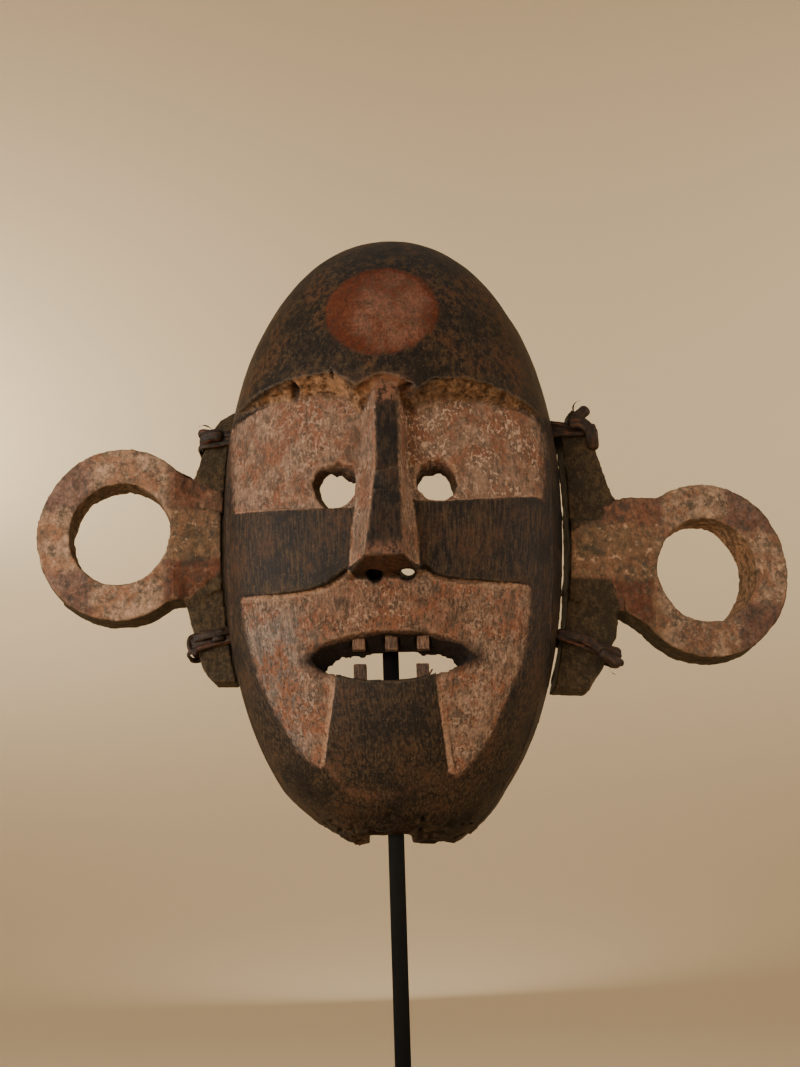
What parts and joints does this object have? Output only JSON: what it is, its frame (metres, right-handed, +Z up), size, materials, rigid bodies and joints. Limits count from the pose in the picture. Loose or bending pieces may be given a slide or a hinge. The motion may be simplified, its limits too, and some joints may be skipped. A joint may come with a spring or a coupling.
{
  "type": "carved mask",
  "caption": "Hollow carved wooden mask with painted fields, pierced eyes and mouth, peg teeth and two ringed ears lashed to its rim, held up on a black steel rod and plate.",
  "frame": {"origin": "middle of the stand plate's underside, on the floor", "axes": "+Z up, the mask looks along -Y, +X to the viewer's right"},
  "size_m": [0.389, 0.1416, 0.4624],
  "materials": {
    "mask_wood": "dark handled patina with dusty pink, cream and red-ochre painted fields",
    "tooth_wood": "rubbed red-brown",
    "ear_wood": "mottled pink-brown pigment over dark wood",
    "lashing_cane": "dark dried split cane",
    "stand_steel": "matt black"
  },
  "bodies": {
    "root": {"mask": "mask_wood", "tooth_upper_left": "tooth_wood", "tooth_upper_middle": "tooth_wood", "tooth_upper_right": "tooth_wood", "tooth_lower_left": "tooth_wood", "tooth_lower_right": "tooth_wood", "ear_left": "ear_wood", "ear_right": "ear_wood", "lashing_left_top": "lashing_cane", "lashing_left_bottom": "lashing_cane", "lashing_right_top": "lashing_cane", "lashing_right_bottom": "lashing_cane", "stand_rod": "stand_steel", "stand_plate": "stand_steel"}
  },
  "joints": []
}
